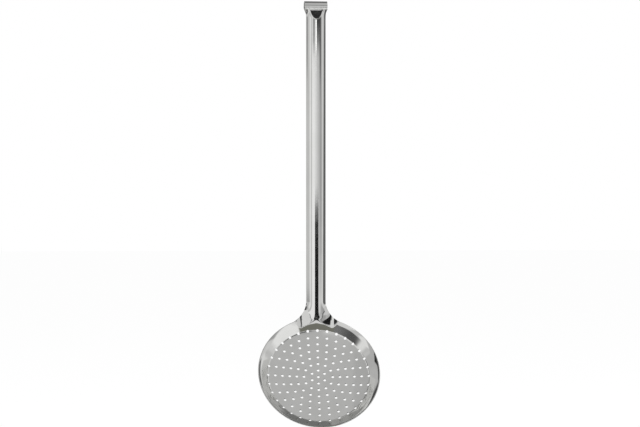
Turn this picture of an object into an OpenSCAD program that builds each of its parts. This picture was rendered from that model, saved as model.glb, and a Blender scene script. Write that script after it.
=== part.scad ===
// Kitchen skimmer, pressed from one sheet of polished stainless steel.
// It hangs from a rail. The origin is the rail's axis in the middle of the hook,
// +Z points up along the handle, +X to the right, and the bowl opens towards -Y.
// Each stretch of the pressing is a solid of its own, and they meet face to face.

/* [Whole skimmer] */
// Length from the top of the hook to the lowest point of the rim
overall_len = 419; // [350:1:520]
// Thickness of the steel sheet
sheet_t = 1.5; // [1:0.1:2]

/* [Bowl] */
// Diameter of the rim, outside
bowl_d = 120; // [90:1:160]
// Angle between the rim's plane and the handle
bowl_tilt = 33; // [25:1:38]
// Height of the sloping wall, from the floor's edge to the rim
wall_h = 9; // [7:0.5:12]
// Slope of the wall, measured from the rim's plane
wall_slope = 46; // [43:1:54]
// Slope of the wall's lip, right at the rim
lip_slope = 38; // [34:1:42]
// Radius of the lip's curve, from the one slope to the other
lip_r = 32; // [12:1:36]
// How much deeper the floor is in the middle than at its edge
floor_dish = 3.6; // [2:0.1:6]
// Inside radius of the knee between floor and wall
knee_r = 2; // [1:0.5:4]
// How far the floor's sheet runs up the wall past the knee
knee_rise = 1.2; // [0.8:0.1:2]
// How far the rim's top stands in front of the handle's crown
rim_forward = 0.7; // [0.2:0.1:1.2]

/* [Drain holes] */
// Diameter of one drain hole
hole_d = 2.5; // [1.5:0.1:4]
// Distance from one ring of holes to the next, along the sheet
hole_pitch = 7.12; // [6:0.01:10]
// Turn of the whole hole pattern about the bowl's axis
hole_turn = 1.35; // [0:0.05:10]
// Least strip of sheet between the last ring and the wall
hole_margin = 0.5; // [0.3:0.1:3]

/* [Neck] */
// Distance from the rim up to where the handle's edges start to flare
neck_len = 16; // [12:0.5:26]
// Half of the angle of the bowl that the neck takes up
neck_angle = 24; // [20:1:28]
// Pull of the flared edge where it leaves the handle
flare_start = 28; // [16:1:36]
// Pull of the flared edge where it runs into the rim
flare_end = 20; // [8:1:24]
// Distance down the neck in which the handle's arc opens out
open_len = 5; // [4:0.5:8]
// How far below the rim the middle of the neck meets the wall
neck_drop = 8; // [6:0.5:9]
// Half width beyond which the neck's roof turns level
roof_half = 17; // [14:1:22]
// How far in from its sides the neck's wings start to come forward
wing_w = 10; // [8:0.5:12]
// How far the wings come forward
wing_step = 7.5; // [6:0.5:9]

/* [Handle] */
// Width of the handle across its two edges
handle_w = 19.7; // [16:0.1:21.4]
// Outside radius of the handle's rounded front
handle_r = 11; // [10.8:0.1:16]

/* [Hook shoulder] */
// Length over which the rounded handle opens out into the flat strip
shoulder_len = 12; // [8:0.5:20]
// How far the handle's crown stands in front of the flat strip
rib_step = 2.7; // [1.5:0.1:4]
// Length of the flat ramp that ends the crown
ramp_len = 10; // [6:0.5:12]

/* [Hanging hook] */
// Width of the hook's strip
hook_w = 23; // [20:0.5:28]
// Inside radius of the bend, which seats on the rail
hook_r = 5; // [4:0.1:8]
// Angle that the strip turns through over the rail
hook_turn = 165; // [140:1:175]
// Length of the straight strip below the bend, in front
strip_len = 2.5; // [2:0.5:8]
// Length of the free tongue behind
tongue_len = 20; // [14:0.5:32]
// Width of the tongue's rounded tip
tongue_w = 15; // [10:0.5:18]

/* [Hidden] */

round_fn = 180; // steps round a full turn of the bowl and of small arcs
hole_fn = 24; // steps round a drain hole
dish_steps = 16; // steps from the floor's middle to the knee
knee_steps = 6; // steps round the knee
lip_steps = 4; // steps round the lip
neck_rows = 26; // steps along the neck, down to the wall
wall_rows = 12; // steps from there to the floor's edge
neck_across = 44; // steps from edge to edge across the neck
shoulder_rows = 24; // steps along the hook shoulder
across = 28; // steps from edge to edge across the shoulder
fade_from = -6; // distance below the rim where the neck's roof starts to fade
fade_to = 12; // distance below the rim where it has gone
neck_lean = 0.05; // how fast the neck comes forward below the rim
crest_blend = 0.9; // softness of the crest between neck and wall, in the middle
crest_side = 0.2; // the same, on both sides
crest_half = 9; // half width over which the one changes to the other
curl_r = 8; // how the wall's surface curls up beyond the rim
wall_tries = 12; // steps in which the wall's depth is found
fine_step = 0.02; // distance between places that give the slope, near the handle
wide_step = 0.4; // the same, near the crest
opening = 5; // how late the shoulder opens out
ramp_blend = 0.12; // softness of the edge where the ramp cuts the crown
ramp_fade = 16; // how quickly that cut fades away at the shoulder's ends
tongue_lap = 0.3; // how far the tongue's plate runs back into the bend
tongue_step = 0.02; // step all round where the plate leaves the bend, which keeps the joint clean

// Rim and wall, in the bowl's own frame: r from its axis, z up out of the bowl
rim_r = bowl_d / 2 - sheet_t * sin(lip_slope);
lip_c = [rim_r + lip_r * sin(lip_slope), -lip_r * cos(lip_slope)];
lip_len = lip_r * (wall_slope - lip_slope) * PI / 180;
wall_dir = [cos(wall_slope), sin(wall_slope)];
wall_in = [-sin(wall_slope), cos(wall_slope)];
lip_low = lip_c + lip_r * wall_in;
foot = lip_low - (wall_h + lip_low[1]) / sin(wall_slope) * wall_dir;

// Dished floor: part of a sphere that would meet the wall at its foot
dish_r = (pow(foot[0], 2) + pow(floor_dish, 2)) / (2 * floor_dish);
dish_c = [0, dish_r - wall_h - floor_dish];

// Knee: a round of radius knee_r that touches both the sphere and the wall
knee_base = foot + knee_r * wall_in - dish_c;
knee_along = knee_base * wall_dir;
knee_shift = -knee_along - sqrt(pow(knee_along, 2) - knee_base * knee_base + pow(dish_r - knee_r, 2));
knee_c = foot + knee_r * wall_in + knee_shift * wall_dir;
wall_start = foot + knee_shift * wall_dir;
dish_angle = atan2(knee_c[0], dish_c[1] - knee_c[1]);
dish_len = dish_r * dish_angle * PI / 180;
knee_len = dish_len + knee_r * (wall_slope - dish_angle) * PI / 180;
floor_len = knee_len + knee_rise;
wall_len = lip_len + norm(lip_low - wall_start) - knee_rise;
hole_rings = floor((floor_len - hole_margin - hole_d / 2) / hole_pitch);

// Heights along the handle and depths behind the crown's front face
hook_top = hook_r + sheet_t;
strip_y = -hook_r - sheet_t;
crown_y = strip_y - rib_step;
arc_y = crown_y + handle_r;
edge_angle = asin(handle_w / 2 / handle_r);
shoulder_top_z = -strip_len;
shoulder_low_z = shoulder_top_z - shoulder_len;
ramp_slope = rib_step / ramp_len;

// The bowl's frame: its axis points forward and up
bowl_up = [0, sin(bowl_tilt), cos(bowl_tilt)];
bowl_out = [0, -cos(bowl_tilt), sin(bowl_tilt)];
rim_edge_drop = sheet_t * cos(lip_slope);
rim_centre_z = hook_top - overall_len + bowl_d / 2 * cos(bowl_tilt) + rim_edge_drop * sin(bowl_tilt);
bowl_c = [0, crown_y - rim_forward - rim_r * sin(bowl_tilt), rim_centre_z];
rim_top_z = rim_centre_z + rim_r * cos(bowl_tilt);
neck_top_z = rim_top_z + neck_len;
neck_half = rim_r * sin(neck_angle);

module at_bowl() {
    translate(bowl_c) rotate([90 - bowl_tilt, 0, 0]) children();
}

// Place of a point on the floor's inner face: [r, z, slope] at a distance along the sheet
function on_floor(along) =
    along <= dish_len
        ? let (slope = along / dish_r * 180 / PI)
            [dish_c[0] + dish_r * sin(slope), dish_c[1] - dish_r * cos(slope), slope]
        : let (slope = dish_angle + (min(along, knee_len) - dish_len) / knee_r * 180 / PI)
            let (rise = max(0, along - knee_len))
            [knee_c[0] + knee_r * sin(slope) + rise * wall_dir[0],
                knee_c[1] - knee_r * cos(slope) + rise * wall_dir[1], slope];

// The same on the wall, by its distance below the rim along the sheet
function on_wall(drop) =
    let (slope = min(wall_slope, lip_slope + drop / lip_r * 180 / PI))
    let (below = max(0, drop - lip_len))
    [lip_c[0] - lip_r * sin(slope) - below * wall_dir[0],
        lip_c[1] + lip_r * cos(slope) - below * wall_dir[1], slope];

// A closed section from places on the inner face, and the same places on the outer face
function under(place) = [place[0] + sheet_t * sin(place[2]), place[1] - sheet_t * cos(place[2])];
function section(places) = [for (place = places) [place[0], place[1]],
    for (i = [len(places) - 1 : -1 : 0]) under(places[i])];

floor_places = [for (i = [0 : dish_steps]) on_floor(dish_len * i / dish_steps),
    for (i = [1 : knee_steps]) on_floor(dish_len + (knee_len - dish_len) * i / knee_steps),
    on_floor(floor_len)];
wall_places = [on_wall(wall_len), for (i = [lip_steps : -1 : 0]) on_wall(lip_len * i / lip_steps)];

// Six holes round the middle one, and four more on each ring after the second
function holes_in_ring(ring) = ring == 1 ? 6 : 4 * (ring + 1);

// One drain hole, square to the sheet
module drain_hole(place) {
    translate([place[0], 0, place[1]])
        rotate([0, -place[2], 0])
            translate([0, 0, -2 * sheet_t])
                cylinder(d = hole_d, h = 3 * sheet_t, $fn = hole_fn);
}

module strainer_floor() {
    color("silver") at_bowl() difference() {
        rotate_extrude($fn = round_fn) polygon(section(floor_places));
        drain_hole(on_floor(0));
        for (ring = [1 : hole_rings], i = [1 : holes_in_ring(ring)])
            rotate([0, 0, hole_turn + 360 * i / holes_in_ring(ring)])
                drain_hole(on_floor(ring * hole_pitch));
    }
}

// The wall leaves out the part of the bowl that the neck takes up
module bowl_wall() {
    color("gainsboro") at_bowl() rotate([0, 0, 90 + neck_angle])
        rotate_extrude(angle = 360 - 2 * neck_angle, $fn = round_fn) polygon(section(wall_places));
}

function mix(a, b, share) = a + (b - a) * share;

// A share that grows smoothly from 0 to 1 between two values
function smooth(x, from_x, to_x) =
    let (s = max(0, min(1, (x - from_x) / (to_x - from_x))))
    s * s * (3 - 2 * s);

// The larger of two depths, with a soft change from one to the other
function soft_max(a, b, blend) =
    let (near = max(0, 1 - abs(a - b) / blend))
    max(a, b) + blend * near * near / 4;

// A point on a curve that leaves from_p along from_pull and arrives at to_p along to_pull
function flow(from_p, from_pull, to_p, to_pull, s) =
    (2 * pow(s, 3) - 3 * pow(s, 2) + 1) * from_p + (pow(s, 3) - 2 * pow(s, 2) + s) * from_pull
    + (3 * pow(s, 2) - 2 * pow(s, 3)) * to_p + (pow(s, 3) - pow(s, 2)) * to_pull;

// A closed sheet between two grids of points, each a list of rows of the same length
module sheet_solid(front, back) {
    rows = len(front);
    cols = len(front[0]);
    function at(side, row, col) = (side * rows + row) * cols + col;
    points = [for (side = [front, back], row = side, p = row) p];
    faces = [
        for (row = [0 : rows - 2], col = [0 : cols - 2]) each [
            [at(0, row, col), at(0, row, col + 1), at(0, row + 1, col + 1)],
            [at(0, row, col), at(0, row + 1, col + 1), at(0, row + 1, col)],
            [at(1, row, col), at(1, row + 1, col + 1), at(1, row, col + 1)],
            [at(1, row, col), at(1, row + 1, col), at(1, row + 1, col + 1)]
        ],
        for (row = [0 : rows - 2]) each [
            [at(0, row, 0), at(0, row + 1, 0), at(1, row + 1, 0)],
            [at(0, row, 0), at(1, row + 1, 0), at(1, row, 0)],
            [at(0, row, cols - 1), at(1, row + 1, cols - 1), at(0, row + 1, cols - 1)],
            [at(0, row, cols - 1), at(1, row, cols - 1), at(1, row + 1, cols - 1)]
        ],
        for (col = [0 : cols - 2]) each [
            [at(0, 0, col), at(1, 0, col + 1), at(0, 0, col + 1)],
            [at(0, 0, col), at(1, 0, col), at(1, 0, col + 1)],
            [at(0, rows - 1, col), at(0, rows - 1, col + 1), at(1, rows - 1, col + 1)],
            [at(0, rows - 1, col), at(1, rows - 1, col + 1), at(1, rows - 1, col)]
        ]
    ];
    polyhedron(points, faces);
}

// A point on the handle's front (depth 0) or back (depth sheet_t) face; t runs from edge to edge
function on_handle(t, depth, z) =
    [(handle_r - depth) * sin(edge_angle * t), arc_y - (handle_r - depth) * cos(edge_angle * t), z];

// A point on the wall's inner face, by its distance below the rim and its angle from the top
function in_bowl(drop, angle) =
    let (place = on_wall(drop))
    bowl_c + place[0] * (sin(angle) * [1, 0, 0] + cos(angle) * bowl_up) + place[1] * bowl_out;

// The directions that run down the wall and along the rim there
function down_wall(angle) =
    -cos(lip_slope) * (sin(angle) * [1, 0, 0] + cos(angle) * bowl_up) - sin(lip_slope) * bowl_out;
function along_rim(angle) = cos(angle) * [1, 0, 0] - sin(angle) * bowl_up;

// Height of the wall's inner face and its rise at a radius
function wall_at(r) =
    let (lip = max(lip_low[0], min(rim_r, r)))
    let (up = sqrt(pow(lip_r, 2) - pow(lip_c[0] - lip, 2)))
    let (rise = (lip_c[0] - lip) / up)
    let (past = max(0, r - rim_r))
    [lip_c[1] + up + rise * (r - lip) + pow(past, 2) / 2 / curl_r, rise + past / curl_r];

// Depth of the wall behind a place seen from the front, found by stepping closer and closer
function wall_y(x, z, y = crown_y, tries = wall_tries) =
    tries == 0 ? y
        : let (place = [0, y - bowl_c[1], z - bowl_c[2]])
            let (r = norm([x, place * bowl_up]))
            let (wall = wall_at(r))
            let (miss = place * bowl_out - wall[0])
            let (gain = bowl_out[1] - wall[1] * (place * bowl_up) / r * bowl_up[1])
            wall_y(x, z, y - miss / gain, tries - 1);

// Depth of the handle's front where it opens out like a tent. Its roof fades below the rim,
// and its wings come forward to meet the wall.
function flare_y(x, z) =
    let (below = rim_top_z - z)
    let (bend = 1 - pow(max(0, below + neck_len) / open_len, 2))
    let (level = smooth(below, -7 / 8 * neck_len, -3 / 8 * neck_len))
    let (roof_x = abs(x) / pow(1 + level * pow(abs(x) / roof_half, 4), 1 / 4))
    let (rest = max(0.01, pow(handle_r, 2) - bend * pow(roof_x, 2)))
    let (roof = pow(roof_x, 2) / (handle_r + sqrt(rest)) * (1 - smooth(below, fade_from, fade_to)))
    let (wing = wing_step * pow(max(0, abs(x) - neck_half + wing_w) / wing_w, 2))
    let (lean = neck_lean * (below > 2 ? below - 1 : pow(max(0, below), 2) / 4))
    crown_y + roof - wing * smooth(below, -3 / 4 * neck_len, 0) - lean;

// The sheet lies on whichever of the two is further back
function pressed_y(x, z) =
    let (blend = mix(crest_blend, crest_side, smooth(abs(x), 1, crest_half)))
    soft_max(flare_y(x, z), wall_y(x, z), blend);

// A place on the pressed sheet at a depth below its front, square to it
function pressed(place, depth) =
    let (x = place[0])
    let (z = place[2])
    let (step = mix(fine_step, wide_step, smooth(rim_top_z - z, -10, -4)))
    let (slope_x = (pressed_y(x + step, z) - pressed_y(x - step, z)) / (2 * step))
    let (slope_z = (pressed_y(x, z + step) - pressed_y(x, z - step)) / (2 * step))
    [x, pressed_y(x, z), z] - depth / norm([slope_x, 1, slope_z]) * [slope_x, -1, slope_z];

// The neck's lines start straight down the handle. In the middle they run on down the wall,
// and towards the edges they turn into the rim.
function drop_at(t) = neck_drop * pow(1 - t * t, 2);
function neck_line(t, s) =
    let (angle = neck_angle * t)
    let (turn = 90 * t * abs(t))
    let (arrive = cos(turn) * down_wall(angle) + sin(turn) * along_rim(angle))
    flow(on_handle(t, 0, neck_top_z), mix(neck_len, flare_start, t * t) * [0, 0, -1],
        in_bowl(drop_at(t), angle), mix(neck_len, flare_end, t * t) * arrive, s);

// From the neck's foot the same lines run down the wall to the floor's edge
function foot_line(t, s) = in_bowl(mix(drop_at(t), wall_len, s), neck_angle * t);

module neck() {
    stops = [for (j = [-neck_across / 2 : neck_across / 2]) 2 * j / neck_across];
    sides = [for (depth = [0, sheet_t]) [
        [for (t = stops) on_handle(t, depth, neck_top_z)],
        for (i = [1 : neck_rows]) [for (t = stops) pressed(neck_line(t, i / neck_rows), depth)],
        for (i = [1 : wall_rows]) [for (t = stops) pressed(foot_line(t, i / wall_rows), depth)]
    ]];
    color("lightgray") sheet_solid(sides[0], sides[1]);
}

module handle() {
    reach = 2 * handle_r;
    color("whitesmoke") translate([0, arc_y, neck_top_z])
        linear_extrude(shoulder_low_z - neck_top_z) intersection() {
            difference() {
                circle(r = handle_r, $fn = round_fn);
                circle(r = handle_r - sheet_t, $fn = round_fn);
            }
            polygon([[0, 0], reach * [-sin(edge_angle), -cos(edge_angle)], [0, -reach],
                reach * [sin(edge_angle), -cos(edge_angle)]]);
        }
}

// The shoulder opens the arc out into the strip, and the ramp cuts off its crown.
// The cut fades away at both ends, where the shoulder meets its neighbours.
function on_shoulder(t, depth, s) =
    let (z = mix(shoulder_low_z, shoulder_top_z, s))
    let (arc = on_handle(t, depth, z))
    let (open = mix(arc, [hook_w / 2 * t, strip_y + depth, z], pow(s, opening)))
    let (ramp_y = strip_y + depth + ramp_slope * (z - shoulder_top_z))
    let (cut = min(1, ramp_fade * s, ramp_fade * (1 - s)))
    [open[0], mix(open[1], soft_max(open[1], ramp_y, ramp_blend), cut), z];

module hook_shoulder() {
    sides = [for (depth = [0, sheet_t])
        [for (i = [shoulder_rows : -1 : 0]) [for (j = [-across / 2 : across / 2])
            on_shoulder(2 * j / across, depth, i / shoulder_rows)]]];
    color("lightgray") sheet_solid(sides[0], sides[1]);
}

// The tongue's outline: as wide as the strip at the bend, and drawn in to a round tip
module tongue_outline() {
    half = hook_w / 2 - tongue_step;
    tip_r = tongue_w / 2;
    tip_y = tongue_len - tip_r;
    touch = atan2(-tip_y, half) + acos(tip_r / norm([half, tip_y]));
    touch_p = [tip_r * cos(touch), tip_y + tip_r * sin(touch)];
    polygon([[-half, -tongue_lap], [half, -tongue_lap], [half, 0],
        touch_p, [-touch_p[0], touch_p[1]], [-half, 0]]);
    translate([0, tip_y]) circle(r = tip_r, $fn = round_fn);
}

module hanging_hook() {
    color("silver") {
        translate([-hook_w / 2, strip_y, -strip_len]) cube([hook_w, sheet_t, strip_len]);
        rotate([90, 0, -90]) rotate_extrude(angle = hook_turn, $fn = round_fn)
            translate([hook_r, -hook_w / 2]) square([sheet_t, hook_w]);
        rotate([-hook_turn, 0, 0]) translate([0, -hook_r - tongue_step, 0]) rotate([90, 0, 0])
            linear_extrude(sheet_t - 2 * tongue_step) tongue_outline();
    }
}

strainer_floor();
bowl_wall();
neck();
handle();
hook_shoulder();
hanging_hook();
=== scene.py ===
import math

import bpy
import numpy as np
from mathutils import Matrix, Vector
from mathutils.geometry import delaunay_2d_cdt


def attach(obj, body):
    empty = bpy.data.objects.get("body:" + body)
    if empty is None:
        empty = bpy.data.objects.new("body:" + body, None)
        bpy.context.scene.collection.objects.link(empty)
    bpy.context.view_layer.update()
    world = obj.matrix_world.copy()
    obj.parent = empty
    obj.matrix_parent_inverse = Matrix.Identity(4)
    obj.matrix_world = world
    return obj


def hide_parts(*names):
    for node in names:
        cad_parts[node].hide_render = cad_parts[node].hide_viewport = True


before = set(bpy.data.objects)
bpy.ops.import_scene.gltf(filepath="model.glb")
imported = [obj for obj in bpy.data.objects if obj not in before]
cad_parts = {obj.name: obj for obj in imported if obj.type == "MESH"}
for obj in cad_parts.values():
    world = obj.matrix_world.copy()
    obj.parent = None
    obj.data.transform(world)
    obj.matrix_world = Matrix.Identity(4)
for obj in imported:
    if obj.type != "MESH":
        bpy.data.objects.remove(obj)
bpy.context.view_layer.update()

# Sizes, in millimetres, the same as the solid model's
MM = 0.001  # one millimetre in the scene's metres
OVERALL = 419.0
SHEET = 1.5
BOWL_D = 120.0
TILT = math.radians(33)
WALL_H = 9.0
LIP_SLOPE = math.radians(38)
LIP_R = 32.0
WALL_SLOPE = math.radians(46)
DISH = 3.6
KNEE_R = 2.0
KNEE_RISE = 1.2
RIM_FORWARD = 0.7
HOLE_D = 2.5
PITCH = 7.12
HOLE_TURN = math.radians(1.35)
NECK_LEN = 16.0
NECK_ANGLE = math.radians(24)
FLARE_START = 28.0
FLARE_END = 20.0
HANDLE_W = 19.7
HANDLE_R = 11.0
SHOULDER_LEN = 12.0
RIB_STEP = 2.7
RAMP_LEN = 10.0
HOOK_W = 23.0
HOOK_R = 5.0
HOOK_TURN = math.radians(165)
STRIP_LEN = 2.5
TONGUE_LEN = 20.0
TONGUE_W = 15.0

# The neck's section opens out from the handle's arc like a tent, and fades into the wall
OPEN_RATE = 5.0  # distance down the neck in which the arc becomes a parabola
FADE_FROM, FADE_TO = -6.0, 12.0  # where the crown starts to fade, and is gone, below the rim
LEAN = 0.05  # how fast the flare comes forward below the rim
WING_W = 10.0  # how far in from its sides the flare's wings start to come forward
WING_STEP = 7.5  # how far they come forward
TENT_X = 17.0  # half width beyond which the tent turns level
CREST_MIDDLE, CREST_SIDE = 0.9, 0.2  # softness of the crest between the flare and the wall
NECK_DROP = 8.0  # how far below the rim the neck's middle meets the wall
FINE, WIDE = 0.02, 0.4  # distances between places that give the slope, near the handle and the crest

EDGE = 0.4  # how far the rounded edge of the sheet bulges
HOLE_EDGE = 0.15  # the same, round a drain hole
SQUARER = 0.6  # below 1, the rounded edge is squarer than a half circle

RIM_BEND = 8.0  # how fast the wall's surface turns up where it is followed past the rim
WALL_TRIES = 12  # steps in which the wall's depth is found
RAMP_FADE = 16.0  # how fast the flat ramp comes in at the ends of the shoulder
RAMP_BLEND = 0.12  # softness of the flat ramp's edges
SHOULDER_POWER = 5  # the arc stays an arc for longer with a higher power
HOLE_MARGIN = 0.5  # flat sheet left outside the outer ring of holes

# The sheet's sections, as in the solid model
X = np.array([1.0, 0.0, 0.0])
UP = np.array([0.0, math.sin(TILT), math.cos(TILT)])
OUT = np.array([0.0, -math.cos(TILT), math.sin(TILT)])

rim_r = BOWL_D / 2 - SHEET * math.sin(LIP_SLOPE)
lip_c = np.array([rim_r + LIP_R * math.sin(LIP_SLOPE), -LIP_R * math.cos(LIP_SLOPE)])
lip_len = LIP_R * (WALL_SLOPE - LIP_SLOPE)
wall_dir = np.array([math.cos(WALL_SLOPE), math.sin(WALL_SLOPE)])
wall_in = np.array([-wall_dir[1], wall_dir[0]])
lip_low = lip_c + LIP_R * wall_in
foot = lip_low - (WALL_H + lip_low[1]) / wall_dir[1] * wall_dir
dish_r = (foot[0]**2 + DISH**2) / (2 * DISH)
dish_c = np.array([0.0, dish_r - WALL_H - DISH])
base = lip_low + KNEE_R * wall_in - dish_c
along_base = base @ wall_dir
shift = -along_base - math.sqrt(along_base**2 - base @ base + (dish_r - KNEE_R) ** 2)
knee_c = lip_low + KNEE_R * wall_in + shift * wall_dir
wall_len = lip_len - shift
dish_angle = math.atan2(knee_c[0], dish_c[1] - knee_c[1])
dish_len = dish_r * dish_angle
floor_len = dish_len + KNEE_R * (WALL_SLOPE - dish_angle)
floor_end = floor_len + KNEE_RISE

hook_top = HOOK_R + SHEET
strip_y = -HOOK_R - SHEET
crown_y = strip_y - RIB_STEP
arc_y = crown_y + HANDLE_R
edge_angle = math.asin(HANDLE_W / 2 / HANDLE_R)
shoulder_top = -STRIP_LEN
shoulder_low = shoulder_top - SHOULDER_LEN
rim_z = hook_top - OVERALL + BOWL_D / 2 * math.cos(TILT) + SHEET * math.cos(LIP_SLOPE) * math.sin(TILT)
bowl_c = np.array([0.0, crown_y - RIM_FORWARD - rim_r * math.sin(TILT), rim_z])
rim_top = rim_z + rim_r * math.cos(TILT)
neck_top = rim_top + NECK_LEN
neck_half = rim_r * math.sin(NECK_ANGLE)


def unit(v):
    return v / np.linalg.norm(v, axis=-1, keepdims=True)


def in_bowl(r, z, angle):
    """A point in the bowl's own frame, r from its axis and z along it, angle from the neck."""
    r, z, angle = np.broadcast_arrays(r, z, angle)
    side = np.sin(angle)[..., None] * X + np.cos(angle)[..., None] * UP
    return bowl_c + r[..., None] * side + z[..., None] * OUT


def on_wall(drop):
    """Radius, height and slope on the wall, by its distance below the rim along the sheet."""
    slope = np.minimum(LIP_SLOPE + drop / LIP_R, WALL_SLOPE)
    below = np.maximum(drop - lip_len, 0)
    r = lip_c[0] - LIP_R * np.sin(slope) - below * wall_dir[0]
    return r, lip_c[1] + LIP_R * np.cos(slope) - below * wall_dir[1], slope


def floor_at(along):
    """The same on the floor, its knee and the wall, by distance from the middle."""
    dish, knee = along <= dish_len, along <= floor_len
    slope = np.where(dish, along / dish_r, dish_angle + (along - dish_len) / KNEE_R)
    r = np.where(dish, dish_r * np.sin(slope), knee_c[0] + KNEE_R * np.sin(slope))
    z = np.where(dish, dish_c[1] - dish_r * np.cos(slope), knee_c[1] - KNEE_R * np.cos(slope))
    wall = on_wall(floor_len + wall_len - along)
    return tuple(np.where(knee, a, b) for a, b in zip((r, z, slope), wall))


def bowl_normal(slope, angle):
    slope, angle = np.broadcast_arrays(slope, angle)
    side = np.sin(angle)[..., None] * X + np.cos(angle)[..., None] * UP
    return -np.sin(slope)[..., None] * side + np.cos(slope)[..., None] * OUT


def wall_at(drop, angle):
    r, z, _ = on_wall(drop)
    return in_bowl(r, z, angle)


def handle_at(t, depth, z):
    """A point on the handle's front (depth 0) or back; t runs from edge to edge."""
    t, z = np.broadcast_arrays(t, z)
    r = HANDLE_R - depth
    return np.stack([r * np.sin(edge_angle * t), arc_y - r * np.cos(edge_angle * t), z], -1)


def flow(a, pull_a, b, pull_b, s):
    """A curve that leaves a along pull_a and arrives at b along pull_b."""
    s = s[..., None]
    return ((2 * s**3 - 3 * s**2 + 1) * a + (s**3 - 2 * s**2 + s) * pull_a
            + (3 * s**2 - 2 * s**3) * b + (s**3 - s**2) * pull_b)


def neck_drop(t):
    """How far below the rim a line of the neck meets the wall."""
    return NECK_DROP * (1 - t * t) ** 2


def neck_xz(t, s):
    """The neck's lines as seen from the front: down the handle, then out along the rim."""
    t, s = np.broadcast_arrays(t, s)
    angle = NECK_ANGLE * t
    turn = math.pi / 2 * t * np.abs(t)
    side = np.sin(angle)[..., None] * X + np.cos(angle)[..., None] * UP
    down = -math.cos(LIP_SLOPE) * side - math.sin(LIP_SLOPE) * OUT
    along = np.cos(angle)[..., None] * X - np.sin(angle)[..., None] * UP
    arrive = np.cos(turn)[..., None] * down + np.sin(turn)[..., None] * along
    pull_a = (NECK_LEN + (FLARE_START - NECK_LEN) * t * t)[..., None] * np.array([0, 0, -1.0])
    pull_b = (NECK_LEN + (FLARE_END - NECK_LEN) * t * t)[..., None] * arrive
    start = handle_at(t, 0.0, np.full(t.shape, neck_top))
    return flow(start, pull_a, wall_at(neck_drop(t), angle), pull_b, s)


def wall_y(x, z):
    """Depth of the bowl's wall behind a point seen from the front; it stands up beyond the rim."""
    y = np.full(np.shape(x), crown_y)
    for _ in range(WALL_TRIES):
        dy, dz = y - bowl_c[1], z - bowl_c[2]
        u = dy * UP[1] + dz * UP[2]
        r = np.hypot(x, u)
        on_lip = np.clip(r, lip_low[0], rim_r)
        across = np.sqrt(LIP_R**2 - (lip_c[0] - on_lip) ** 2)
        slope = (lip_c[0] - on_lip) / across
        past = np.maximum(r - rim_r, 0)
        height = lip_c[1] + across + slope * (r - on_lip) + past**2 / (2 * RIM_BEND)
        slope = slope + past / RIM_BEND
        miss = dy * OUT[1] + dz * OUT[2] - height
        y = y - miss / (OUT[1] - slope * u / r * UP[1])
    return y


def smooth(x, start, end):
    s = np.clip((x - start) / (end - start), 0, 1)
    return s * s * (3 - 2 * s)


def flare_y(x, z):
    """Depth of the handle's front where it opens out like a tent towards the bowl."""
    below = rim_top - z
    k = 1 - (np.maximum(below + NECK_LEN, 0) / OPEN_RATE) ** 2
    x = np.abs(x)
    spread = smooth(below, -14, -6)
    near_x = x / (1 + spread * (x / TENT_X) ** 4) ** 0.25
    tent = near_x**2 / (HANDLE_R + np.sqrt(np.maximum(HANDLE_R**2 - k * near_x**2, 0.01)))
    wing = WING_STEP * (np.maximum(x - neck_half + WING_W, 0) / WING_W) ** 2
    lean = LEAN * np.where(below > 2, below - 1, np.maximum(below, 0) ** 2 / 4)
    return crown_y + (1 - smooth(below, FADE_FROM, FADE_TO)) * tent - wing * smooth(below, -12, 0) - lean


def soft_max(a, b, blend):
    h = np.clip(1 - np.abs(a - b) / blend, 0, 1)
    return np.maximum(a, b) + blend * h * h / 4


def pressed(place):
    """Front points moved to where the neck is pressed into the bowl, their normals, and the back."""
    def depth(x, z):
        crest = CREST_MIDDLE + (CREST_SIDE - CREST_MIDDLE) * smooth(np.abs(x), 1, 9)
        return soft_max(flare_y(x, z), wall_y(x, z), crest)

    def square_to(x, z, step):
        slope_x = (depth(x + step, z) - depth(x - step, z)) / (2 * step)
        slope_z = (depth(x, z + step) - depth(x, z - step)) / (2 * step)
        return unit(np.stack([slope_x, np.full(x.shape, -1.0), slope_z], -1))

    x, z = place[..., 0], place[..., 2]
    wide = square_to(x, z, FINE + (WIDE - FINE) * smooth(rim_top - z, -10, -4))
    place = np.stack([x, depth(x, z), z], -1)
    return place, square_to(x, z, FINE), place - SHEET * wide


def shoulder_at(t, depth, s):
    """The shoulder opens the arc out into the strip, and a flat ramp cuts off its crown."""
    t, s = np.broadcast_arrays(t, s)
    z = shoulder_low + (shoulder_top - shoulder_low) * s
    arc = handle_at(t, depth, z)
    flat = np.stack([HOOK_W / 2 * t, np.full(t.shape, strip_y + depth), z], -1)
    opened = arc + (flat - arc) * (s**SHOULDER_POWER)[..., None]
    ramp = strip_y + depth + RIB_STEP / RAMP_LEN * (z - shoulder_top)
    cut = np.clip(RAMP_FADE * np.minimum(s, 1 - s), 0, 1)
    opened[..., 1] += (soft_max(opened[..., 1], ramp, RAMP_BLEND) - opened[..., 1]) * cut
    return opened


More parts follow.
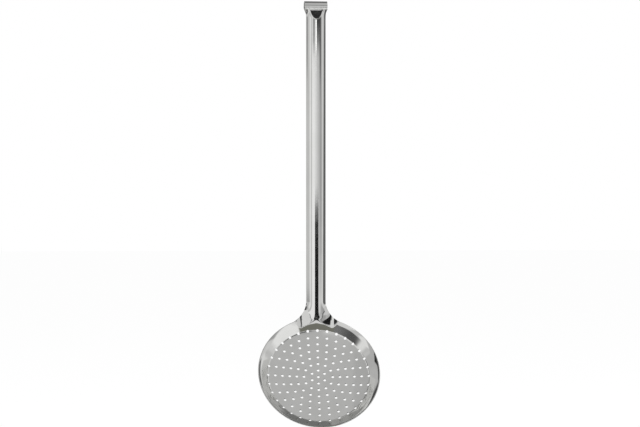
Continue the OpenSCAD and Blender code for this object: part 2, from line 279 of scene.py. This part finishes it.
def hook_at(t, depth, v):
    """The strip, the bend and the tongue; v is the distance from the strip's foot."""
    t, v = np.broadcast_arrays(t, v)
    r = HOOK_R + SHEET / 2
    bend = r * HOOK_TURN
    half = np.full(v.shape, HOOK_W / 2)
    run = v - STRIP_LEN - bend
    tip = TONGUE_LEN - TONGUE_W / 2
    taper = np.clip(run / tip, 0, 1)
    half = half + (TONGUE_W / 2 - half) * smooth(taper, 0, 1)
    past = np.clip((run - tip) / (TONGUE_W / 2), 0, 1)
    half = half * np.sqrt(1 - past**2)
    angle = np.clip((v - STRIP_LEN) / r, 0, HOOK_TURN)
    y = -(HOOK_R + SHEET - depth) * np.cos(angle)
    z = (HOOK_R + SHEET - depth) * np.sin(angle)
    z = z + np.minimum(v - STRIP_LEN, 0)
    run = np.maximum(run, 0)
    y = y + run * math.sin(HOOK_TURN)
    z = z + run * math.cos(HOOK_TURN)
    return np.stack([half * t, y, z], -1)


# One skin of points, front and back
front, back, faces = [], [], []


def add(f, b):
    """Adds points with a front and a back place, and returns their numbers in the same shape."""
    start = sum(len(p) for p in front)
    shape = f.shape[:-1]
    front.append(f.reshape(-1, 3))
    back.append(b.reshape(-1, 3))
    return np.arange(start, start + int(np.prod(shape))).reshape(shape)


def quads(rows, closed=False):
    """Faces between rows of points, each row below the one before it as seen from the front."""
    n = rows.shape[1]
    for i in range(rows.shape[0] - 1):
        for j in range(n if closed else n - 1):
            k = (j + 1) % n
            faces.append((rows[i, j], rows[i + 1, j], rows[i + 1, k], rows[i, k]))


ACROSS = 96
REST_STEPS = 240
columns = np.linspace(-1, 1, ACROSS + 1)
neck_angles = NECK_ANGLE * columns
rest = np.linspace(NECK_ANGLE, 2 * math.pi - NECK_ANGLE, REST_STEPS + 1)[1:-1]
angles = np.concatenate([neck_angles, rest])
column_t = np.concatenate([columns, np.ones(len(rest))])

# The wall, from the rim or the neck's foot down to just above the knee
WALL_ROWS = 22
top_drop = neck_drop(column_t)
share = np.linspace(0, 1, WALL_ROWS + 1)[:, None]
drops = top_drop + (wall_len + floor_len - floor_end - top_drop) * share
wall_front = wall_at(drops, angles[None, :])
wall_n = bowl_normal(on_wall(drops)[2], angles[None, :])
wall_back = wall_front - SHEET * wall_n
near = slice(0, ACROSS + 1)
wall_front[:, near], wall_n[:, near], wall_back[:, near] = pressed(wall_front[:, near])
wall_ids = add(wall_front, wall_back)
quads(wall_ids, closed=True)

# The dished floor and the knee, unrolled flat and meshed round the drain holes
hole_r = HOLE_D / 2 + HOLE_EDGE
HOLE_STEPS = 28
COLLARS = ((1.22, HOLE_STEPS), (1.6, 20))  # rings of points round a hole: radius, number
KNEE_RINGS, KNEE_STEPS = 10, 420
STEP = 1.5  # between the points of the plain floor
holes = [(0.0, 0.0)]
rings = int((floor_end - HOLE_MARGIN - HOLE_D / 2) // PITCH)
for ring in range(1, rings + 1):
    count = 6 if ring == 1 else 4 * (ring + 1)
    for i in range(count):
        a = HOLE_TURN + 2 * math.pi * i / count
        holes.append((ring * PITCH * math.sin(a), ring * PITCH * math.cos(a)))
holes = np.array(holes)
turn = 2 * math.pi * np.arange(HOLE_STEPS) / HOLE_STEPS
flat_points, edges = [], []


def flat_loop(x, y):
    start = len(flat_points)
    flat_points.extend(zip(x, y))
    edges.extend((start + i, start + (i + 1) % len(x)) for i in range(len(x)))


def room(x, y):
    """Distance from the nearest hole's middle."""
    return np.hypot(holes[:, 0] - x, holes[:, 1] - y).min()


flat_loop(floor_end * np.sin(angles), floor_end * np.cos(angles))
for hx, hy in holes:
    flat_loop(hx + hole_r * np.sin(turn), hy + hole_r * np.cos(turn))
for grow, count in COLLARS:
    a = 2 * math.pi * (np.arange(count) + 0.5) / count
    for hx, hy in holes:
        px, py = hx + grow * hole_r * np.sin(a), hy + grow * hole_r * np.cos(a)
        flat_points.extend(p for p in zip(px, py) if math.hypot(*p) < floor_end - 0.3)
for ring_r in np.append(np.linspace(dish_len - 0.3, floor_len + 0.1, KNEE_RINGS), floor_len + 0.8):
    a = 2 * math.pi * (np.arange(KNEE_STEPS) + 0.5) / KNEE_STEPS
    flat_points.extend(p for p in zip(ring_r * np.sin(a), ring_r * np.cos(a))
                       if room(*p) > 1.12 * hole_r)
reach = 36 * STEP
for i, gy in enumerate(np.arange(-reach, reach, STEP * math.sqrt(0.75))):
    for gx in np.arange(-reach, reach, STEP) + STEP / 2 * (i % 2):
        if math.hypot(gx, gy) < dish_len - 0.8 and room(gx, gy) > 1.9 * hole_r:
            flat_points.append((gx, gy))
made = delaunay_2d_cdt([Vector(p) for p in flat_points], edges, [], 0, 1e-5)
flat = np.array([tuple(p) for p in made[0]])
along = np.hypot(flat[:, 0], flat[:, 1])
angle = np.arctan2(flat[:, 0], flat[:, 1])
r, z, slope = floor_at(np.minimum(along, floor_end))
floor_front = in_bowl(r, z, angle)
floor_normal = bowl_normal(slope, angle)
origin = {}
for new, olds in enumerate(made[3]):
    for old in olds:
        origin[old] = new
rim_of_floor = {origin[i]: wall_ids[-1, i] for i in range(len(angles))}
floor_ids = add(floor_front, floor_front - SHEET * floor_normal)
floor_ids = np.array([rim_of_floor.get(i, n) for i, n in enumerate(floor_ids)])
for tri in made[2]:
    mid = flat[list(tri)].mean(0)
    if np.hypot(*(holes - mid).T).min() < hole_r * 0.985 or np.hypot(*mid) > floor_end:
        continue
    a, b, c = flat[tri[0]], flat[tri[1]], flat[tri[2]]
    ccw = (b[0] - a[0]) * (c[1] - a[1]) - (b[1] - a[1]) * (c[0] - a[0]) > 0
    order = tri if ccw else tri[::-1]
    faces.append(tuple(floor_ids[k] for k in order))

# The neck, the handle, the shoulder and the hook, in rows from the wall upwards
NECK_ROWS, HANDLE_ROWS, SHOULDER_ROWS = 44, 70, 64


def rows_of(place, stops):
    t, s = columns[None, :], np.asarray(stops)[:, None]
    return place(t, 0.0, s), place(t, SHEET, s)


neck_stops = np.linspace(0, 1, NECK_ROWS + 1)[:-1][::-1, None]
neck_front, neck_n, neck_back = pressed(neck_xz(columns[None, :], neck_stops))
upper = [(neck_front, neck_back),
         rows_of(handle_at, np.linspace(neck_top, shoulder_low, HANDLE_ROWS + 1)[1:]),
         rows_of(shoulder_at, np.linspace(0, 1, SHOULDER_ROWS + 1)[1:])]
bend_len = (HOOK_R + SHEET / 2) * HOOK_TURN
tip_turn = np.linspace(0, math.radians(88), 26)[1:]
hook_stops = np.concatenate([
    np.linspace(0, STRIP_LEN, 5)[1:],
    STRIP_LEN + np.linspace(0, bend_len, 41)[1:],
    STRIP_LEN + bend_len + np.linspace(0, TONGUE_LEN - TONGUE_W / 2, 25)[1:],
    STRIP_LEN + bend_len + TONGUE_LEN - TONGUE_W / 2 + TONGUE_W / 2 * np.sin(tip_turn)])
upper.append(rows_of(hook_at, hook_stops))
upper_ids = add(np.concatenate([u[0] for u in upper]), np.concatenate([u[1] for u in upper]))
column_ids = np.vstack([wall_ids[:1, :ACROSS + 1], upper_ids])
quads(column_ids[::-1])

P, Q = np.concatenate(front), np.concatenate(back)


def face_normals(points, sign):
    """Smooth normals from the faces round each point, weighted by their areas."""
    total = np.zeros_like(points)
    for size in (3, 4):
        f = np.array([f for f in faces if len(f) == size])
        a = points[f[:, 2]] - points[f[:, 0]]
        b = points[f[:, -1]] - points[f[:, 1]]
        n = np.cross(a, b) if size == 4 else np.cross(points[f[:, 1]] - points[f[:, 0]], a)
        for k in range(size):
            np.add.at(total, f[:, k], n)
    length = np.linalg.norm(total, axis=1, keepdims=True)
    return sign * total / np.maximum(length, 1e-12)


front_n = face_normals(P, 1)
back_n = face_normals(Q, -1)
# Where the form is exact, so are the normals
front_n[wall_ids] = wall_n
back_n[wall_ids[:, ACROSS + 1:]] = -wall_n[:, ACROSS + 1:]
front_n[upper_ids[:NECK_ROWS]] = neck_n
own = floor_ids > wall_ids.max()
front_n[floor_ids[own]], back_n[floor_ids[own]] = floor_normal[own], -floor_normal[own]
handle_rows = upper_ids[NECK_ROWS - 1:NECK_ROWS + HANDLE_ROWS]
arc_n = np.stack([np.sin(edge_angle * columns), -np.cos(edge_angle * columns), 0 * columns], -1)
front_n[handle_rows], back_n[handle_rows] = arc_n, -arc_n

# Rounded edges: each open edge of the front, followed as a loop
count = {}
for f in faces:
    for a, b in zip(f, f[1:] + f[:1]):
        count[(a, b)] = count.get((a, b), 0) + 1
following = {}
for a, b in count:
    if (b, a) not in count:
        following[b] = a
loops = []
left = dict(following)
while left:
    start = next(iter(left))
    loop = [start]
    while left[loop[-1]] != start:
        loop.append(left[loop[-1]])
    for i in loop:
        del left[i]
    loops.append(np.array(loop))

verts = [P, Q]
normals = [front_n, back_n]
total = len(P) * 2
skin = [tuple(int(i) for i in f) for f in faces]
skin += [tuple(int(i) + len(P) for i in reversed(f)) for f in faces]
EDGE_STEPS = 8
bend = np.linspace(0, math.pi, EDGE_STEPS + 1)[1:-1]
for loop in loops:
    f, b = P[loop], Q[loop]
    bulge = EDGE if len(loop) > 2 * HOLE_STEPS else HOLE_EDGE
    tau = unit(np.roll(f, -1, 0) - np.roll(f, 1, 0))
    thick = unit(f - b)
    e = unit(np.cross(tau, thick))
    mid, half = (f + b) / 2, np.linalg.norm(f - b, axis=1)[:, None] / 2
    previous = loop
    for part in bend:
        c, s = math.cos(part), math.sin(part)
        place = mid + thick * half * np.sign(c) * abs(c) ** SQUARER + e * bulge * s**SQUARER
        lean = np.sign(c) * abs(c) ** (2 - SQUARER) / half * thick + s ** (2 - SQUARER) / bulge * e
        verts.append(place)
        normals.append(unit(lean))
        ring = np.arange(total, total + len(loop))
        total += len(loop)
        nxt = np.roll(ring, -1)
        pn = np.roll(previous, -1)
        skin += [tuple(int(v) for v in q) for q in zip(previous, ring, nxt, pn)]
        previous = ring
    ring = loop + len(P)
    skin += [tuple(int(v) for v in q)
             for q in zip(previous, ring, np.roll(ring, -1), np.roll(previous, -1))]

points = np.concatenate(verts)
normal = np.concatenate(normals)
in_use = np.zeros(len(points), bool)
for f in skin:
    in_use[list(f)] = True
renumber = np.cumsum(in_use) - 1
skin = [tuple(int(renumber[i]) for i in f) for f in skin]
points, normal = points[in_use], normal[in_use]

mesh = bpy.data.meshes.new("skimmer_sheet")
mesh.from_pydata((points * MM).tolist(), [], skin)
mesh.validate(verbose=True)
mesh.polygons.foreach_set("use_smooth", [True] * len(mesh.polygons))
mesh.normals_split_custom_set_from_vertices(normal.tolist())
mesh.update()
sheet = bpy.data.objects.new("skimmer_sheet", mesh)
bpy.context.scene.collection.objects.link(sheet)
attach(sheet, "root")
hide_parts("strainer_floor", "bowl_wall", "neck", "handle", "hook_shoulder", "hanging_hook")


# Material
class Tree:
    """Short names for making and joining nodes."""

    def __init__(self, owner):
        owner.use_nodes = True
        self.tree = owner.node_tree

    def put(self, socket, value):
        if isinstance(value, bpy.types.NodeSocket):
            self.tree.links.new(value, socket)
        elif isinstance(value, tuple) and len(value) == 3 and len(socket.default_value) == 4:
            socket.default_value = (*value, 1)
        else:
            socket.default_value = value

    def add(self, kind, values=(), out=0, **settings):
        n = self.tree.nodes.new("ShaderNode" + kind)
        for name, value in settings.items():
            setattr(n, name, value)
        for key, value in dict(values).items():
            self.put(n.inputs[key], value)
        return n.outputs[out]

    def math(self, operation, *values):
        return self.add("Math", enumerate(values), operation=operation)

    def rise(self, value, start, end, low=0.0, high=1.0, kind="SMOOTHSTEP"):
        return self.add("MapRange", {0: value, 1: start, 2: end, 3: low, 4: high},
                        interpolation_type=kind)

    def mix(self, share, a, b, **settings):
        return self.add("Mix", {0: share, 6: a, 7: b}, out=2, data_type="RGBA", **settings)


def steel():
    """Polished stainless steel: fine marks along the sheet, slight waves and a faint mottling."""
    m = bpy.data.materials.new("polished_steel")
    t = Tree(m)
    shader = t.tree.nodes["Principled BSDF"]
    place = t.add("TexCoord", out=3)
    mottle = t.add("TexNoise", {"Vector": place, "Scale": 70.0, "Detail": 3.0}, out=0)
    grain_place = t.add("Mapping", {"Vector": place, "Scale": (2600.0, 2600.0, 90.0)})
    grain = t.add("TexNoise", {"Vector": grain_place, "Scale": 1.0, "Detail": 2.0}, out=0)
    rough = t.rise(mottle, 0.35, 0.7, 0.035, 0.07, "LINEAR")
    t.put(shader.inputs["Roughness"], t.math("ADD", rough, t.math("MULTIPLY", grain, 0.015)))
    tone = t.mix(t.rise(mottle, 0.3, 0.75), (0.742, 0.742, 0.731), (0.78, 0.78, 0.771))
    t.put(shader.inputs["Base Color"], tone)
    waves = t.add("TexNoise", {"Vector": place, "Scale": 45.0, "Detail": 1.0}, out=0)
    height = t.math("ADD", t.math("MULTIPLY", waves, 1.0), t.math("MULTIPLY", grain, 0.004))
    bump = t.add("Bump", {"Height": height, "Strength": 1.0, "Distance": 0.00002})
    t.put(shader.inputs["Normal"], bump)
    shader.inputs["Metallic"].default_value = 1.0
    return m


sheet.data.materials.append(steel())

# Camera, fitted to the outline of the bowl, the handle and the holes
FRAME_W = 640  # the photograph's width in pixels
FOCAL = 1491  # the fitted focal length in the same pixels
camera = bpy.data.cameras.new("camera")
camera.sensor_width = 36.0
camera.lens = FOCAL / FRAME_W * camera.sensor_width
camera.clip_end = 50
eye = bpy.data.objects.new("camera", camera)
bpy.context.scene.collection.objects.link(eye)
eye.location = (-0.1336, -1.4971, -0.2073)
eye.rotation_euler = (math.radians(90), 0, math.radians(-5.27))
bpy.context.scene.camera = eye

# Floor and light
floor_mesh = bpy.data.meshes.new("floor")
floor_mesh.from_pydata([(-9, -9, 0), (9, -9, 0), (9, 9, 0), (-9, 9, 0)], [], [(0, 1, 2, 3)])
floor = bpy.data.objects.new("floor", floor_mesh)
floor.location = (0, 0, -0.47)
floor.visible_glossy = False
bpy.context.scene.collection.objects.link(floor)
floor_look = bpy.data.materials.new("floor")
t = Tree(floor_look)
t.tree.nodes.remove(t.tree.nodes["Principled BSDF"])
pale = t.add("BsdfDiffuse", {"Color": (0.92, 0.92, 0.92)})
white = t.add("Emission", {"Color": (1.0, 1.0, 1.0), "Strength": 1.0})
seen = t.math("MULTIPLY", t.add("LightPath", out=0), 0.8)
look = t.add("MixShader", {0: seen, 1: pale, 2: white})
t.put(t.tree.nodes["Material Output"].inputs["Surface"], look)
floor.data.materials.append(floor_look)

lamp = bpy.data.lights.new("overhead", "AREA")
lamp.shape = "RECTANGLE"
lamp.size, lamp.size_y = 1.6, 1.2
lamp.energy = 9
overhead = bpy.data.objects.new("overhead", lamp)
overhead.location = (0.2, -0.5, 1.5)
overhead.rotation_euler = (math.radians(-14), math.radians(6), 0)
overhead.visible_glossy = False
bpy.context.scene.collection.objects.link(overhead)

world = bpy.data.worlds.new("studio")
bpy.context.scene.world = world
t = Tree(world)
ray = t.add("TexCoord", out=0)
split = t.tree.nodes.new("ShaderNodeSeparateXYZ")
t.put(split.inputs[0], ray)
# Degrees from the front towards +X, which is the camera's right, and degrees above the horizon
DEG = 180 / math.pi
side = t.math("MULTIPLY", t.math("ARCTAN2", split.outputs[0],
                                 t.math("MULTIPLY", split.outputs[1], -1.0)), DEG)
lift = t.math("MULTIPLY", t.math("ARCSINE", split.outputs[2]), DEG)


def card(colour, left, right, low, high, soft=(3, 2), mask=None):
    """A soft-edged panel of the studio, seen in the steel; it covers what came before it."""
    global sky
    for value, start, end, s in ((side, left, right, soft[0]), (lift, low, high, soft[1])):
        for edge, sign in ((start, 1), (end, -1)):
            if abs(edge) >= 180 or (value is lift and abs(edge) >= 90):
                continue
            part = t.rise(value, edge - s * sign, edge + s * sign)
            mask = part if mask is None else t.math("MULTIPLY", mask, part)
    sky = t.mix(mask, sky, grey(colour))


def grey(colour):
    if isinstance(colour, bpy.types.NodeSocket) or isinstance(colour, tuple):
        return colour
    return (colour, colour, colour * 0.993)


path = t.tree.nodes.new("ShaderNodeLightPath")
# Rays that met the steel once: the room sees them at depth 2
once = t.math("LESS_THAN", path.outputs["Ray Depth"], 2.5)
sky = grey(0.55)
OLIVE = (0.20, 0.20, 0.172)
fade = t.rise(side, -18.0, 52.0, 1.0, 0.42, "LINEAR")
strip = t.tree.nodes.new("ShaderNodeCombineColor")
for i in range(3):
    t.put(strip.inputs[i], fade)
# the horizon, left to right
card(0.64, -180, -73, -30, 20)
card(0.90, -71, -50, -30, 8.5, (3, 1))
card(0.62, -50, -41, -30, 20)
card(strip.outputs[0], -41, 66, -14, 20, (1, 2))
card(0.74, 66, 84, -14, 20)
card(0.64, 84, 180, -14, 20, (6, 3))
# low in front: a bright edge over a dark table top
card(0.95, 30, 84, -30, -3, (4, 3))
card(0.62, -64, -38, -30, -4, (3, 2))
card(0.80, -40, 36, -22, -5, (6, 1))
card(OLIVE, -40, 34.5, -90, -21.5, (1.5, 0.6))
card(0.20, -110, -66, -40, -3.4, (3, 0.8))
# the table's left-hand part, and what is low on the right, have slanting upper edges
slant = t.math("ADD", lift, t.math("MULTIPLY", side, 0.5))
table = t.math("MULTIPLY", t.rise(slant, -35, -37), t.rise(side, -64, -60))
table = t.math("MULTIPLY", table, t.rise(side, -22, -26))
table_tone = t.rise(side, -48.0, -28.0, 0.10, 0.20, "LINEAR")
sky = t.mix(table, sky, table_tone)
under = t.math("SUBTRACT", lift, t.math("MULTIPLY", side, 0.62))
far = t.math("MULTIPLY", t.rise(under, -52, -56), t.rise(side, 34, 38))
sky = t.mix(far, sky, grey(0.14))
# higher in front: light on the left, dark on the right, and one narrow lamp between
card(0.80, -80, 4, 9, 46, (2, 0.6))
card(0.52, -95, -53, 9, 32, (3, 1))
card(0.40, -34, -8, 6.3, 9, (1.5, 0.5))
card(0.055, 9, 56, 6.5, 9, (2, 0.6))
card(0.10, 41, 53, 5, 9, (2, 1))
card(0.20, -112, -97, 5.5, 20, (2, 1))
card(0.42, 9, 40, 9, 20, (2, 1))
card(0.70, 40, 92, 9, 46, (3, 1))
card(0.80, 3, 40, 8.5, 46, (1, 2), t.math("SUBTRACT", 1.0, once))
card(0.02, -86, -51, 19.5, 38, (1.5, 1), once)
slant = t.math("SUBTRACT", lift, t.math("MULTIPLY", side, 1.55))
above = t.math("MULTIPLY", once, t.rise(slant, -16, -13))
card(0.012, 11, 44, 6, 44, (1, 2), above)
card(0.012, 9, 30, 18, 44, (1, 2), above)
card(0.012, -8, 12, 36.5, 42, (2, 1), above)
card(0.34, -12, 22, 7.7, 12, (2, 0.15), once)
card(1.9, -1, 7, 6.3, 7.6, (2, 0.15))
card(0.82, 84, 130, 9, 29, (3, 2))
# behind, above the horizon: dark, with slanting lower edges
slant = t.math("SUBTRACT", lift, t.math("MULTIPLY", side, 0.5))
behind = t.math("MULTIPLY", once, t.rise(slant, -28, -24))
card(0.10, 86, 138, 17, 36, (3, 3), behind)
card(0.10, 102, 138, 30, 90, (3, 3), behind)
card(0.22, 136, 180, 31, 90, (4, 3), once)
card(0.09, 136, 180, 36, 90, (4, 3), once)
slant = t.math("ADD", lift, t.math("MULTIPLY", side, 0.64))
card(0.08, -101, -74, 18, 60, (2, 2), t.math("MULTIPLY", once, t.rise(slant, -29, -26)))
card(0.08, -180, -99, 40, 90, (3, 3), once)
card(0.24, 124, 180, 46, 72, (4, 3))
card(0.24, -180, -146, 46, 72, (4, 3))
# straight above, a little darker on the left
card(0.49, -70, -7.5, 52, 80, (0.6, 2))
# the camera's own dark slot
card(0.012, -10, 27, -5.4, 0.3, (0.8, 0.4))
# lamps high at both sides
card(1.1, -62, -30, 37, 52, (4, 3))
card(1.1, 66, 100, 38, 54, (4, 4))

shown = t.math("MAXIMUM", path.outputs["Is Glossy Ray"], path.outputs["Is Transmission Ray"])
light = t.mix(shown, (1.0, 1.0, 1.0), sky)
t.put(t.tree.nodes["Background"].inputs["Color"], light)

bpy.context.scene.view_settings.view_transform = "Standard"
